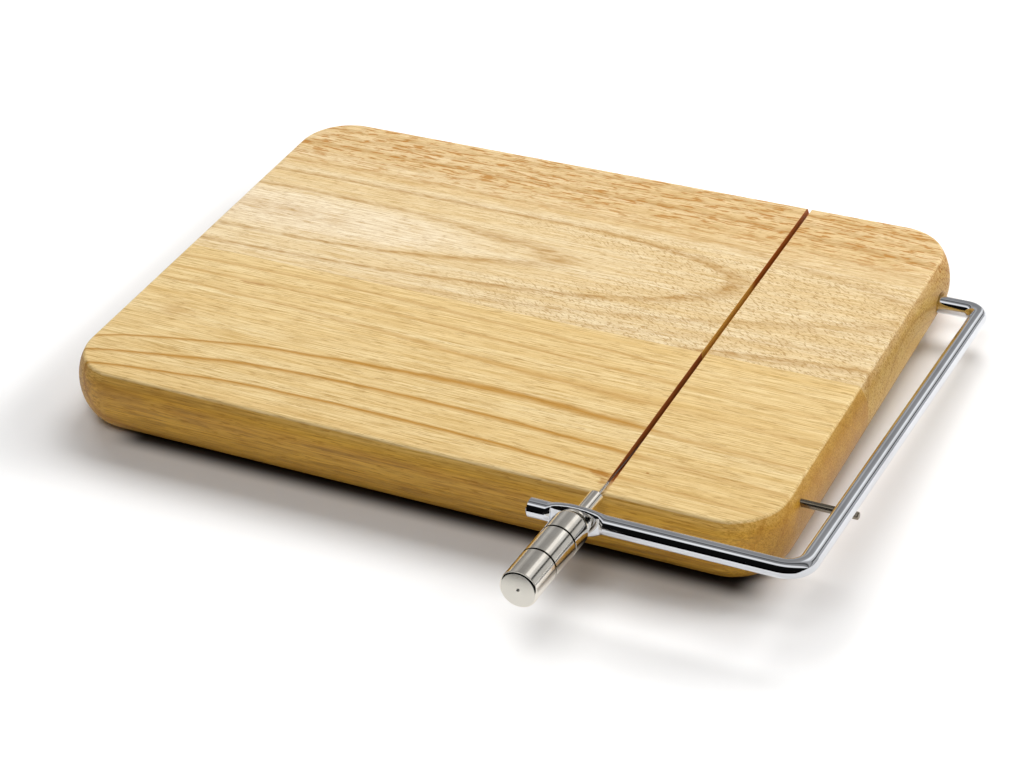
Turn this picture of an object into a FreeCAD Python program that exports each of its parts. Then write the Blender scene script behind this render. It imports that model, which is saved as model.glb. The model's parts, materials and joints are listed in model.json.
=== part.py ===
import FreeCAD, Part
import math
import os

# A cheese-slicing board. A wooden board, glued up from two planks, lies on the table, and a bent steel
# rod, the bail, is hinged in a bore near its back right corner. The bail carries a cutting wire that lies
# in a saw kerf across the board. A turned handle is the nut that draws the wire tight.
#
# Frame: the origin is the centre of the board's underside. +X runs along the board's length towards the
# hinge end, +Y away from the handle towards the back, +Z up. Lengths are millimetres, angles degrees.

# Board
BOARD_LENGTH = 254.0
BOARD_WIDTH = 184.5
BOARD_THICKNESS = 24.5
SIDE_BULGE = 3.5            # how far the rounded sides stand out past the top face's outline
BULGE_DEPTH = 10.3          # depth of the widest line below the top face
SIDE_ROUND = 9.8            # horizontal half-axis of the sides' elliptical section
CORNER_RADIUS = 17.0        # plan radius of the top face's corners
EDGE_EASE = 0.8             # eased top edge
GLUE_LINE_Y = -8.3          # where the two planks meet, edge to edge

# Kerf, cut by a round saw fed along a slope that comes up through the top face near the front
KERF_X = 71.0
KERF_WIDTH = 1.8
KERF_HINGE_DEPTH = 16.9     # depth of the floor below the hinge axis's station
KERF_BEND_DEPTH = 4.1       # depth of the floor where the blade starts to run out
KERF_BEND_Y = -63.0
SAW_RADIUS = 127.0

# Hinge bore and rest pin
ROD_RADIUS = 3.0
HINGE_Y = 64.3
HINGE_DEPTH = 12.15
HINGE_BORE_RADIUS = 3.05
HINGE_BORE_END_X = 59.5
MOUTH_SINK_RADIUS = 4.4
MOUTH_SINK_DEPTH = 1.35
REST_PIN_RADIUS = 1.25
REST_PIN_REACH = 130.7      # distance from the hinge axis, along the side arm
REST_PIN_BURIED = 17.0
REST_PIN_TIP_X = 144.4
REST_PIN_TIP_ROUND = 0.5
REST_GAP = 0.02

# Bail, in a frame that turns with it: reach is the distance from the hinge axis along the wire, rise is
# square to the wire, upwards. The wire's line tilts up towards the front while the bail rests on its pin.
REST_TILT = 4.9
LEG_END_X = 61.0
SIDE_ARM_X = 141.6
FRONT_ARM_REACH = 172.3
FRONT_ARM_RISE = 0.6
STUB_END_X = 55.4
BACK_BEND_RADIUS = 5.0
FRONT_BEND_RADIUS = 7.0
ROD_END_CHAMFER = 0.4

# Flattened eye in the front arm
EYE_HALF_LENGTH = 9.6
EYE_THICKNESS = 3.0
EYE_HALF_HEIGHT = 4.9
EYE_FLAT_HALF_LENGTH = 8.0
EYE_OVERLAP = 0.2           # how far the eye runs into the round arm at each side
FLAT_HOLE_CLEARANCE = 0.05

# Tension stud, its flats, wire hole and cross pin
STUD_RADIUS = 2.5
STUD_TIP_REACH = 158.5
STUD_END_REACH = 201.0
STUD_CHAMFER = 0.35
STUD_ACROSS_FLATS = 4.2
FLATS_START_REACH = 170.3
FLATS_END_REACH = 176.3
WIRE_HOLE_RADIUS = 1.3
WIRE_HOLE_DEPTH = 7.0
LOOP_PIN_RADIUS = 0.6
LOOP_PIN_REACH = 162.0
LOOP_PIN_LENGTH = 4.8

# Cutting wire and its crimped barrel
WIRE_RADIUS = 0.25
TWIST_RADIUS = 0.5
TWIST_START_REACH = 148.9
TWIST_END_REACH = 161.2
TWIST_TAPER = 0.8
LOOP_GAP = 0.02
CROSS_HOLE_RADIUS = 0.35
BARREL_RADIUS = 0.75
BARREL_LENGTH = 2.1
BARREL_CHAMFER = 0.15
BARREL_SEAT = 0.6           # distance of the seat behind the hinge axis
BARREL_POCKET_RADIUS = 0.85

# Handle and thrust washer
HANDLE_RADIUS = 6.0
HANDLE_START_REACH = 176.4
HANDLE_END_REACH = 212.4
GROOVE_REACHES = (186.0, 199.2)
GROOVE_HALF_WIDTH = 0.4
GROOVE_DEPTH = 0.45
HANDLE_INNER_ROUND = 1.2
HANDLE_OUTER_ROUND = 0.7
NECK_RADIUS = 4.3
CENTRE_MARK_RADIUS = 0.6
THREAD_CLEARANCE = 0.05
THREAD_BORE_END_REACH = 206.0
DRILL_POINT_HALF_ANGLE = 59.0
WASHER_RADIUS = 4.8
WASHER_HOLE_RADIUS = 2.65
WASHER_THICKNESS = 1.0
WASHER_CHAMFER = 0.15
FACE_GAP = 0.03             # running gap between faces that turn on each other

CUT_PAST = 5.0              # how far a cutting tool runs out past the material
SAME_PLACE = 0.01           # two places nearer than this are the same

X_AXIS = FreeCAD.Vector(1, 0, 0)
Y_AXIS = FreeCAD.Vector(0, 1, 0)
Z_AXIS = FreeCAD.Vector(0, 0, 1)

TILT = math.radians(REST_TILT)
HINGE_Z = BOARD_THICKNESS - HINGE_DEPTH
HINGE = FreeCAD.Vector(0, HINGE_Y, HINGE_Z)
WIRE_DIRECTION = FreeCAD.Vector(0, -math.cos(TILT), math.sin(TILT))
RISE_DIRECTION = FreeCAD.Vector(0, math.sin(TILT), math.cos(TILT))


def on_bail(x, reach, rise=0.0):
    """A point given across the board and in the bail's own directions."""
    return X_AXIS * x + HINGE + WIRE_DIRECTION * reach + RISE_DIRECTION * rise


def rod_along_wire(radius, start_reach, end_reach):
    """A round rod whose axis is the wire's line."""
    length = end_reach - start_reach
    return Part.makeCylinder(radius, length, on_bail(KERF_X, start_reach), WIRE_DIRECTION)


def turned_on_wire(outline):
    """A part turned about the wire's line, from the corners of its half section as (reach, radius)."""
    edges = []
    points = [on_bail(KERF_X, reach, radius) for reach, radius in outline]
    for first, second in zip(points, points[1:] + points[:1]):
        edges.append(Part.makeLine(first, second))
    face = Part.Face(Part.Wire(edges))
    return face.revolve(on_bail(KERF_X, 0), WIRE_DIRECTION, 360)


def rims(shape, centre, radius):
    """The circular edges of a shape that have this centre and radius."""
    found = []
    for edge in shape.Edges:
        if isinstance(edge.Curve, Part.Circle):
            same_centre = (edge.Curve.Center - centre).Length < SAME_PLACE
            if same_centre and abs(edge.Curve.Radius - radius) < SAME_PLACE:
                found.append(edge)
    return found


def rims_on_wire(shape, radius, *reaches):
    """The circular edges of a part turned about the wire's line, at these reaches."""
    found = []
    for reach in reaches:
        found += rims(shape, on_bail(KERF_X, reach), radius)
    return found


def box_on_wire(half_x, start_reach, end_reach, low_rise, high_rise):
    """A box centred on the kerf's plane, with its faces square to the wire and to the rise."""
    slab = Part.makeBox(2 * half_x, high_rise - low_rise, end_reach - start_reach)
    turn = FreeCAD.Rotation(X_AXIS, RISE_DIRECTION, WIRE_DIRECTION, "XYZ")
    slab.Placement = FreeCAD.Placement(on_bail(KERF_X - half_x, start_reach, low_rise), turn)
    return slab


def board_section():
    """Half of the board's cross section, from a corner's vertical axis out to the rounded side."""
    centre_out = CORNER_RADIUS + SIDE_BULGE - SIDE_ROUND
    half_height = BOARD_THICKNESS - BULGE_DEPTH

    def out_at(depth):
        share = (depth - BULGE_DEPTH) / half_height
        return centre_out + SIDE_ROUND * math.sqrt(1.0 - share * share)

    def point(out, depth):
        return FreeCAD.Vector(out, 0, BOARD_THICKNESS - depth)

    flat_out = out_at(0) - EDGE_EASE
    ease_run = out_at(EDGE_EASE) - flat_out
    ease_radius = (ease_run * ease_run + EDGE_EASE * EDGE_EASE) / (2 * EDGE_EASE)
    half_turn = 0.5 * math.asin(ease_run / ease_radius)
    top_inner = point(0, 0)
    top_outer = point(flat_out, 0)
    middle_out = flat_out + ease_radius * math.sin(half_turn)
    ease_middle = point(middle_out, ease_radius * (1 - math.cos(half_turn)))
    ease_end = point(out_at(EDGE_EASE), EDGE_EASE)
    bottom_outer = point(centre_out, BOARD_THICKNESS)
    bottom_inner = point(0, BOARD_THICKNESS)
    centre = point(centre_out, BULGE_DEPTH)
    ellipse = Part.Ellipse(
        centre + Z_AXIS * half_height,
        centre + X_AXIS * SIDE_ROUND,
        centre,
    )
    first = ellipse.parameter(ease_end)
    last = ellipse.parameter(bottom_outer)
    if last < first:
        first, last = last, first
    side = Part.ArcOfEllipse(ellipse, first, last).toShape()
    edges = [
        Part.makeLine(top_inner, top_outer),
        Part.Arc(top_outer, ease_middle, ease_end).toShape(),
        side,
        Part.makeLine(bottom_outer, bottom_inner),
        Part.makeLine(bottom_inner, top_inner),
    ]
    return Part.Face(Part.Wire(Part.__sortEdges__(edges)))


def board_blank():
    """The board's outside, with its four rounded sides and corners."""
    half_x = 0.5 * BOARD_LENGTH - SIDE_BULGE - CORNER_RADIUS
    half_y = 0.5 * BOARD_WIDTH - SIDE_BULGE - CORNER_RADIUS
    section = board_section()
    corner = FreeCAD.Vector(-half_x, -half_y, 0)
    middle = Part.makeBox(2 * half_x, 2 * half_y, BOARD_THICKNESS, corner)
    pieces = []
    corners = ((half_x, half_y), (-half_x, half_y), (-half_x, -half_y), (half_x, -half_y))
    for turn, (x, y) in enumerate(corners):
        run = 2 * half_y if turn % 2 == 0 else 2 * half_x
        rounded_corner = section.revolve(FreeCAD.Vector(0, 0, 0), Z_AXIS, 90)
        side = section.extrude(Y_AXIS * -run)
        for piece in (rounded_corner, side):
            piece.rotate(FreeCAD.Vector(0, 0, 0), Z_AXIS, 90 * turn)
            piece.translate(FreeCAD.Vector(x, y, 0))
            pieces.append(piece)
    return middle.fuse(pieces).removeSplitter()


def kerf():
    """The saw's path: a sloping floor from the back edge, then the blade's own arc up to the top face."""
    slope = math.atan2(KERF_HINGE_DEPTH - KERF_BEND_DEPTH, HINGE_Y - KERF_BEND_Y)
    back_y = 0.5 * BOARD_WIDTH + CUT_PAST
    above = BOARD_THICKNESS + CUT_PAST

    def blade_point(angle):
        """A point of the blade's edge, by the edge's own slope there."""
        down = math.cos(angle) - math.cos(slope)
        along = math.sin(angle) - math.sin(slope)
        z = BOARD_THICKNESS - KERF_BEND_DEPTH - SAW_RADIUS * down
        return FreeCAD.Vector(0, KERF_BEND_Y - SAW_RADIUS * along, z)

    top_angle = math.acos(math.cos(slope) - (KERF_BEND_DEPTH + CUT_PAST) / SAW_RADIUS)
    bend = blade_point(slope)
    middle = blade_point(0.5 * (slope + top_angle))
    run_out = blade_point(top_angle)
    back_drop = KERF_BEND_DEPTH + (back_y - KERF_BEND_Y) * math.tan(slope)
    back_floor = FreeCAD.Vector(0, back_y, BOARD_THICKNESS - back_drop)
    back_top = FreeCAD.Vector(0, back_y, above)
    edges = [
        Part.makeLine(back_top, back_floor),
        Part.makeLine(back_floor, bend),
        Part.Arc(bend, middle, run_out).toShape(),
        Part.makeLine(run_out, back_top),
    ]
    cut = Part.Face(Part.Wire(edges)).extrude(X_AXIS * KERF_WIDTH)
    cut.translate(X_AXIS * (KERF_X - 0.5 * KERF_WIDTH))
    return cut


def arm_tilt():
    """The side arm's tilt while the bail rests: a little more than the wire's."""
    return TILT + math.atan2(FRONT_ARM_RISE, FRONT_ARM_REACH)


def rest_pin_axis():
    """A point on the rest pin's axis, which lies against the underside of the side arm."""
    tilt = arm_tilt()
    along = FreeCAD.Vector(0, -math.cos(tilt), math.sin(tilt))
    up = FreeCAD.Vector(0, math.sin(tilt), math.cos(tilt))
    return HINGE + along * REST_PIN_REACH - up * (ROD_RADIUS + REST_PIN_RADIUS + REST_GAP)


def board():
    """The whole board with its kerf, the hinge bore with its countersunk mouth, and the rest pin's hole."""
    half_length = 0.5 * BOARD_LENGTH
    bore_start = HINGE + X_AXIS * HINGE_BORE_END_X
    bore_length = half_length + CUT_PAST - HINGE_BORE_END_X
    bore = Part.makeCylinder(HINGE_BORE_RADIUS, bore_length, bore_start, X_AXIS)
    sink_start = HINGE + X_AXIS * (half_length - MOUTH_SINK_DEPTH)
    sink = Part.makeCone(HINGE_BORE_RADIUS, MOUTH_SINK_RADIUS, MOUTH_SINK_DEPTH, sink_start, X_AXIS)
    pin_start = rest_pin_axis() + X_AXIS * (half_length - REST_PIN_BURIED)
    pin_hole = Part.makeCylinder(REST_PIN_RADIUS, REST_PIN_BURIED + CUT_PAST, pin_start, X_AXIS)
    return board_blank().cut([kerf(), bore, sink, pin_hole])


def plank(start_y, end_y):
    """The board between two lines along its length."""
    corner = FreeCAD.Vector(-0.5 * BOARD_LENGTH, start_y, 0)
    return board().common(Part.makeBox(BOARD_LENGTH, end_y - start_y, BOARD_THICKNESS, corner))


def front_plank():
    return plank(-0.5 * BOARD_WIDTH, GLUE_LINE_Y)


def rear_plank():
    return plank(GLUE_LINE_Y, 0.5 * BOARD_WIDTH)


def rest_pin():
    """The steel pin pressed into the board's end, on which the side arm comes to rest."""
    start_x = 0.5 * BOARD_LENGTH - REST_PIN_BURIED
    start = rest_pin_axis() + X_AXIS * start_x
    pin = Part.makeCylinder(REST_PIN_RADIUS, REST_PIN_TIP_X - start_x, start, X_AXIS)
    tip = rims(pin, rest_pin_axis() + X_AXIS * REST_PIN_TIP_X, REST_PIN_RADIUS)
    return pin.makeFillet(REST_PIN_TIP_ROUND, tip)


def bent_rod(points, radii):
    """A round rod along straight runs joined by tangent bends."""
    edges = []
    start = points[0]
    for before, corner, after, radius in zip(points, points[1:], points[2:], radii):
        back = (before - corner).normalize()
        ahead = (after - corner).normalize()
        half_turn = 0.5 * back.getAngle(ahead)
        trim = radius / math.tan(half_turn)
        bend_start = corner + back * trim
        bend_end = corner + ahead * trim
        inward = (back + ahead).normalize()
        bend_middle = corner + inward * (radius / math.sin(half_turn) - radius)
        edges.append(Part.makeLine(start, bend_start))
        edges.append(Part.Arc(bend_start, bend_middle, bend_end).toShape())
        start = bend_end
    edges.append(Part.makeLine(start, points[-1]))
    path = Part.Wire(edges)
    profile = Part.Wire(Part.makeCircle(ROD_RADIUS, points[0], points[1] - points[0]))
    return path.makePipeShell([profile], True, True)


def eye_section(x, half_thickness, half_height, rise, squareness):
    """A closed smooth outline across the front arm: an ellipse for squareness 2, boxier above it."""
    count = 16
    points = []
    for step in range(count):
        angle = 2 * math.pi * (step + 0.5) / count
        cosine = math.cos(angle)
        sine = math.sin(angle)
        thick = half_thickness * math.copysign(abs(cosine) ** (2.0 / squareness), cosine)
        high = half_height * math.copysign(abs(sine) ** (2.0 / squareness), sine)
        points.append(on_bail(x, FRONT_ARM_REACH + thick, rise + high))
    curve = Part.BSplineCurve()
    curve.interpolate(Points=points, PeriodicFlag=True)
    return Part.Wire(curve.toShape())


def eye_blank():
    """The part of the front arm that is pressed flat round the stud, before its faces are trued."""
    round_end = ROD_RADIUS - SAME_PLACE
    flat = 0.5 * EYE_THICKNESS
    # Each station: share of the half length, half thickness, half height, share of the rise, squareness
    stations = (
        (1.00, round_end, round_end, 1.00, 2.0),
        (0.92, 2.70, 3.10, 0.95, 2.1),
        (0.80, 2.00, 3.55, 0.80, 2.4),
        (0.62, flat + 0.20, 4.15, 0.40, 2.8),
        (0.34, flat + 0.15, 4.75, 0.00, 3.0),
        (0.00, flat + 0.15, EYE_HALF_HEIGHT, 0.00, 3.0),
    )
    left_to_middle = [(-share, *size) for share, *size in stations]
    middle_to_right = stations[-2::-1]
    sections = []
    for share, half_thickness, half_height, rise_share, squareness in [*left_to_middle, *middle_to_right]:
        x = KERF_X + share * EYE_HALF_LENGTH
        rise = rise_share * FRONT_ARM_RISE
        sections.append(eye_section(x, half_thickness, half_height, rise, squareness))
    return Part.makeLoft(sections, True, False)


def double_d(radius, across_flats, start_reach, end_reach):
    """A round bar with two flats, above and below the wire's line."""
    bar = rod_along_wire(radius, start_reach, end_reach)
    half_flats = 0.5 * across_flats
    return bar.common(box_on_wire(2 * radius, start_reach, end_reach, -half_flats, half_flats))


def bail():
    """The bent rod: hinge leg, side arm, front arm with its flattened eye, and the short stub past it."""
    leg_end = on_bail(LEG_END_X, 0)
    stub_end = on_bail(STUB_END_X, FRONT_ARM_REACH, FRONT_ARM_RISE)
    arm = bent_rod(
        [leg_end, on_bail(SIDE_ARM_X, 0), on_bail(SIDE_ARM_X, FRONT_ARM_REACH, FRONT_ARM_RISE), stub_end],
        [BACK_BEND_RADIUS, FRONT_BEND_RADIUS],
    )
    ends = rims(arm, leg_end, ROD_RADIUS) + rims(arm, stub_end, ROD_RADIUS)
    arm = arm.makeChamfer(ROD_END_CHAMFER, ends)
    half_gap = EYE_HALF_LENGTH - EYE_OVERLAP
    gap_start = on_bail(KERF_X - half_gap, FRONT_ARM_REACH, FRONT_ARM_RISE)
    arm = arm.cut(Part.makeCylinder(2 * ROD_RADIUS, 2 * half_gap, gap_start, X_AXIS))
    back_face = FRONT_ARM_REACH - 0.5 * EYE_THICKNESS
    front_face = FRONT_ARM_REACH + 0.5 * EYE_THICKNESS
    tall = 2 * EYE_HALF_HEIGHT
    flats = [
        box_on_wire(EYE_FLAT_HALF_LENGTH, back_face - CUT_PAST, back_face, -tall, tall),
        box_on_wire(EYE_FLAT_HALF_LENGTH, front_face, front_face + CUT_PAST, -tall, tall),
    ]
    eye = eye_blank().cut(flats)
    hole_radius = STUD_RADIUS + FLAT_HOLE_CLEARANCE
    hole_flats = STUD_ACROSS_FLATS + 2 * FLAT_HOLE_CLEARANCE
    hole = double_d(hole_radius, hole_flats, back_face - CUT_PAST, front_face + CUT_PAST)
    cross_hole = rod_along_wire(CROSS_HOLE_RADIUS, -ROD_RADIUS, ROD_RADIUS + CUT_PAST)
    pocket = rod_along_wire(BARREL_POCKET_RADIUS, -ROD_RADIUS - CUT_PAST, -BARREL_SEAT)
    return arm.fuse(eye).cut([hole, cross_hole, pocket])


def cutting_wire():
    """The taut wire, the envelope of its twisted front end, and the loop round the stud's pin."""
    back_reach = -BARREL_SEAT - FACE_GAP - BARREL_LENGTH
    straight = rod_along_wire(WIRE_RADIUS, back_reach, TWIST_START_REACH + 0.5 * TWIST_TAPER)
    taper = Part.makeCone(
        WIRE_RADIUS, TWIST_RADIUS, TWIST_TAPER, on_bail(KERF_X, TWIST_START_REACH), WIRE_DIRECTION
    )
    twist = rod_along_wire(TWIST_RADIUS, TWIST_START_REACH + TWIST_TAPER, TWIST_END_REACH)
    pin_clearance = pin_along_x(LOOP_PIN_RADIUS + LOOP_GAP)
    loop_radius = LOOP_PIN_RADIUS + LOOP_GAP + WIRE_RADIUS
    loop = Part.makeTorus(loop_radius, WIRE_RADIUS, on_bail(KERF_X, LOOP_PIN_REACH), X_AXIS)
    return straight.fuse([taper, twist, loop]).cut(pin_clearance)


def wire_anchor():
    """The barrel crimped on the wire's back end, which pulls against the seat inside the hinge leg."""
    seat = -BARREL_SEAT - FACE_GAP
    barrel_end = seat - BARREL_LENGTH
    barrel = rod_along_wire(BARREL_RADIUS, barrel_end, seat)
    barrel = barrel.makeChamfer(BARREL_CHAMFER, rims_on_wire(barrel, BARREL_RADIUS, barrel_end, seat))
    return barrel.cut(rod_along_wire(WIRE_RADIUS, barrel_end - CUT_PAST, seat + CUT_PAST))


def tension_stud():
    """The stud that draws the wire: a hole for the wire in its tip, flats in the eye, a screw end."""
    stud = rod_along_wire(STUD_RADIUS, STUD_TIP_REACH, STUD_END_REACH)
    stud = stud.makeChamfer(STUD_CHAMFER, rims_on_wire(stud, STUD_RADIUS, STUD_TIP_REACH, STUD_END_REACH))
    ring = rod_along_wire(2 * STUD_RADIUS, FLATS_START_REACH, FLATS_END_REACH)
    kept = double_d(STUD_RADIUS, STUD_ACROSS_FLATS, FLATS_START_REACH, FLATS_END_REACH)
    wire_hole = rod_along_wire(
        WIRE_HOLE_RADIUS, STUD_TIP_REACH - CUT_PAST, STUD_TIP_REACH + WIRE_HOLE_DEPTH
    )
    return stud.cut([ring.cut(kept), wire_hole, loop_pin()])


def pin_along_x(radius):
    """A round pin across the stud's tip, as long as the loop pin."""
    start = on_bail(KERF_X - 0.5 * LOOP_PIN_LENGTH, LOOP_PIN_REACH)
    return Part.makeCylinder(radius, LOOP_PIN_LENGTH, start, X_AXIS)


def loop_pin():
    """The cross pin in the stud's tip that holds the wire's loop."""
    return pin_along_x(LOOP_PIN_RADIUS)


def washer_start():
    return FRONT_ARM_REACH + 0.5 * EYE_THICKNESS + FACE_GAP


def thrust_washer():
    """The flat washer between the eye and the handle."""
    start = washer_start()
    end = start + WASHER_THICKNESS
    outline = [
        (start, WASHER_HOLE_RADIUS),
        (end, WASHER_HOLE_RADIUS),
        (end, WASHER_RADIUS),
        (start, WASHER_RADIUS),
    ]
    washer = turned_on_wire(outline)
    return washer.makeChamfer(WASHER_CHAMFER, rims_on_wire(washer, WASHER_RADIUS, start, end))


def handle():
    """The turned grip, which is also the nut that draws the stud, with a neck against the washer."""
    neck_start = washer_start() + WASHER_THICKNESS + FACE_GAP
    bore_radius = STUD_RADIUS + THREAD_CLEARANCE
    drill_point = bore_radius / math.tan(math.radians(DRILL_POINT_HALF_ANGLE))
    outline = [
        (neck_start, bore_radius),
        (neck_start, NECK_RADIUS),
        (HANDLE_START_REACH, NECK_RADIUS),
        (HANDLE_START_REACH, HANDLE_RADIUS),
    ]
    for groove in GROOVE_REACHES:
        outline += [
            (groove - GROOVE_HALF_WIDTH, HANDLE_RADIUS),
            (groove - 0.5 * GROOVE_HALF_WIDTH, HANDLE_RADIUS - GROOVE_DEPTH),
            (groove + 0.5 * GROOVE_HALF_WIDTH, HANDLE_RADIUS - GROOVE_DEPTH),
            (groove + GROOVE_HALF_WIDTH, HANDLE_RADIUS),
        ]
    outline += [
        (HANDLE_END_REACH, HANDLE_RADIUS),
        (HANDLE_END_REACH, CENTRE_MARK_RADIUS),
        (HANDLE_END_REACH - CENTRE_MARK_RADIUS, 0),
        (THREAD_BORE_END_REACH + drill_point, 0),
        (THREAD_BORE_END_REACH, bore_radius),
    ]
    grip = turned_on_wire(outline)
    grip = grip.makeFillet(HANDLE_INNER_ROUND, rims_on_wire(grip, HANDLE_RADIUS, HANDLE_START_REACH))
    return grip.makeFillet(HANDLE_OUTER_ROUND, rims_on_wire(grip, HANDLE_RADIUS, HANDLE_END_REACH))


PARTS = {
    "front_plank": front_plank,
    "rear_plank": rear_plank,
    "rest_pin": rest_pin,
    "bail": bail,
    "thrust_washer": thrust_washer,
    "handle": handle,
    "tension_stud": tension_stud,
    "loop_pin": loop_pin,
    "cutting_wire": cutting_wire,
    "wire_anchor": wire_anchor,
}

os.makedirs("parts", exist_ok=True)
for name, make in PARTS.items():
    shape = make()
    box = shape.BoundBox
    state = "valid" if shape.isValid() else "NOT VALID"
    print(name, len(shape.Solids), "solid", state, round(shape.Volume, 2), "mm3")
    print("   x %.2f to %.2f" % (box.XMin, box.XMax))
    print("   y %.2f to %.2f" % (box.YMin, box.YMax))
    print("   z %.2f to %.2f" % (box.ZMin, box.ZMax))
    solid = shape.Solids[0] if len(shape.Solids) == 1 else shape
    solid.exportStep("parts/" + name + ".step")
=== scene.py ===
import json
import math

import bpy
from mathutils import Matrix, Vector


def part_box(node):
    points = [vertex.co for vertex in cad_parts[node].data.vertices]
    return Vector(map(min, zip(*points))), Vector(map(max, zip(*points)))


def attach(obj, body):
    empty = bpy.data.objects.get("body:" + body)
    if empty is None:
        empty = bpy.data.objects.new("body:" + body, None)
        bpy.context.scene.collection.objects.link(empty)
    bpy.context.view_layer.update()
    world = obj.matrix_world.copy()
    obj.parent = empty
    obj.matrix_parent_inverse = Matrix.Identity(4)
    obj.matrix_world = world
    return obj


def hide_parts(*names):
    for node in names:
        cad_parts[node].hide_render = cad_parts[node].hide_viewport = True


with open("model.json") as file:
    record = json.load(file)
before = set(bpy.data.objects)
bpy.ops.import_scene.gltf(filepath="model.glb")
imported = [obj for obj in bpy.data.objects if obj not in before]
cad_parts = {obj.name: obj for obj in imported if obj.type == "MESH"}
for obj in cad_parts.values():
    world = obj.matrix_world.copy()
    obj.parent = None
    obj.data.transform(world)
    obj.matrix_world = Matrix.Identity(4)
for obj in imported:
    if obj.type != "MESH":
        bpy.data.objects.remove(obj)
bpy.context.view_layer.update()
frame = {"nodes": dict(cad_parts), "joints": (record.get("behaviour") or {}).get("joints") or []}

# Looks of a cheese-slicing board: two glued planks, a chrome bail, a nickel handle and stud, a steel wire.
# Lengths in the materials are millimetres in the part's own frame, whose middle is the board's; objects are
# in metres. A slope is (from, to), or (from, to, result before, result after). Colours are linear.

MM = 0.001
MM_PER_M = 1000.0
SIDEWAYS = Vector((1, 0, 0))
NOISE_SPAN = (0.3, 0.7)         # nearly all of a noise's values lie between these

_, PLANK_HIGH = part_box("rear_plank")
TOP_Z = PLANK_HIGH.z * MM_PER_M
BOARD_HALF = PLANK_HIGH.x * MM_PER_M
BOARD_BACK = PLANK_HIGH.y * MM_PER_M

STUD_LOW, STUD_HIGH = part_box("tension_stud")
WIRE_X = 0.5 * (STUD_LOW.x + STUD_HIGH.x)
LIFT_JOINT = next(joint for joint in frame["joints"] if joint["name"] == "bail_lift")
DRAW_JOINT = next(joint for joint in frame["joints"] if joint["name"] == "stud_draw")
HINGE = Vector((WIRE_X, LIFT_JOINT["pos_m"][1], LIFT_JOINT["pos_m"][2]))
WIRE_DIRECTION = -Vector(DRAW_JOINT["axis"]).normalized()
RISE_DIRECTION = WIRE_DIRECTION.cross(SIDEWAYS)


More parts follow.
